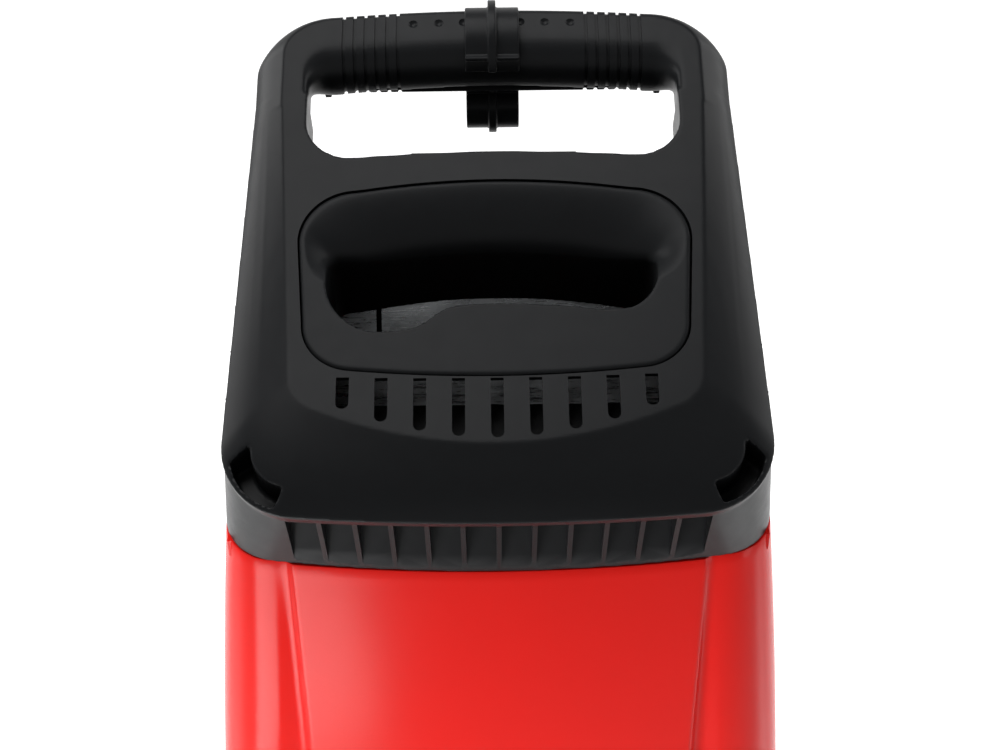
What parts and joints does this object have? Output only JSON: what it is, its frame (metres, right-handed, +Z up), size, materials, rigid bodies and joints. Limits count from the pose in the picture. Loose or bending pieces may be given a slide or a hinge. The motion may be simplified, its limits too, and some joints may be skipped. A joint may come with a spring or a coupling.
{
  "type": "garden shredder",
  "caption": "Electric garden shredder: tilted black hood with handle and curved feed slot on a folding red tower, disc cutter and motor in the base, tube stand with wheels.",
  "frame": {"origin": "middle of the footprint on the ground", "axes": "+Z up, -Y to the front with the lip and the discharge, +X to the operator's right"},
  "size_m": [0.47, 0.43, 0.9473],
  "materials": {
    "black_plastic": "fine grain, semi-matt",
    "red_plastic": "gloss",
    "dark_plastic": "matt",
    "green_plastic": "gloss",
    "red_button": "gloss",
    "galvanised": "zinc plated",
    "steel": "machined",
    "aluminium": "die cast",
    "copper": "bare",
    "brass": "bare",
    "black_paint": "satin powder coat",
    "rubber": "matt"
  },
  "bodies": {
    "hopper": {"hood": "black_plastic", "handle_lower_shell": "black_plastic", "handle_clip": "black_plastic", "feed_panel": "black_plastic", "rear_shell": "black_plastic", "vent_baffle": "dark_plastic", "feed_chute": "dark_plastic", "hopper_floor": "dark_plastic", "deflector_plate": "galvanised", "lock_bracket": "galvanised", "front_shell": "red_plastic", "counter_knife": "steel", "hood_screws": "steel", "shell_screws": "steel"},
    "base": {"base_housing": "black_plastic", "discharge_chute": "black_plastic", "switch_plate": "black_plastic", "cutting_chamber": "dark_plastic", "motor_cover": "dark_plastic", "switch_module": "dark_plastic", "power_inlet": "dark_plastic", "interlock_switch": "dark_plastic", "axle_block_left": "dark_plastic", "axle_block_right": "dark_plastic", "axle_caps": "dark_plastic", "hinge_pins": "steel", "motor_stator": "steel", "bearings": "steel", "base_screws": "steel", "axle": "steel", "leg_screws": "steel", "motor_bracket": "aluminium", "field_windings": "copper", "brush_holders": "brass", "inlet_pins": "brass", "front_leg_left": "black_paint", "front_leg_right": "black_paint", "rear_leg_left": "black_paint", "rear_leg_right": "black_paint", "front_brace": "black_paint", "front_foot_left": "rubber", "front_foot_right": "rubber"},
    "rotor": {"motor_shaft": "steel", "armature": "steel", "disc_hub": "steel", "cutting_disc": "steel", "knife_left": "steel", "knife_right": "steel", "knife_screws": "steel", "disc_bolt": "steel", "commutator": "copper", "cooling_fan": "dark_plastic"},
    "wheel_left": {"wheel_rim_left": "dark_plastic", "tyre_left": "rubber"},
    "wheel_right": {"wheel_rim_right": "dark_plastic", "tyre_right": "rubber"},
    "lock_knob": {"lock_knob": "dark_plastic"},
    "on_button": {"on_button": "green_plastic"},
    "off_button": {"off_button": "red_button"},
    "reset_button": {"reset_button": "dark_plastic"}
  },
  "joints": [
    {"name": "hopper_fold", "type": "hinge", "parent": "base", "child": "hopper", "pos_m": [0, -0.106, 0.43], "axis": [1, 0, 0], "range_deg": [0, 70]},
    {"name": "rotor_spin", "type": "hinge", "parent": "base", "child": "rotor", "pos_m": [0, 0.007, 0.4], "axis": [0, 0, 1], "continuous": true},
    {"name": "wheel_left_spin", "type": "hinge", "parent": "base", "child": "wheel_left", "pos_m": [-0.205, 0.14, 0.075], "axis": [1, 0, 0], "continuous": true},
    {"name": "wheel_right_spin", "type": "hinge", "parent": "base", "child": "wheel_right", "pos_m": [0.205, 0.14, 0.075], "axis": [1, 0, 0], "continuous": true},
    {"name": "lock_knob_turn", "type": "hinge", "parent": "base", "child": "lock_knob", "pos_m": [0, 0.13, 0.43], "axis": [0, 1, 0], "range_deg": [-360, 0]},
    {"name": "on_press", "type": "slide", "parent": "base", "child": "on_button", "axis": [-1, 0, 0], "range_m": [0, 0.004], "stiffness_N_per_m": 600},
    {"name": "off_press", "type": "slide", "parent": "base", "child": "off_button", "axis": [-1, 0, 0], "range_m": [0, 0.004], "stiffness_N_per_m": 600},
    {"name": "reset_press", "type": "slide", "parent": "base", "child": "reset_button", "axis": [-1, 0, 0], "range_m": [0, 0.003], "stiffness_N_per_m": 500}
  ]
}
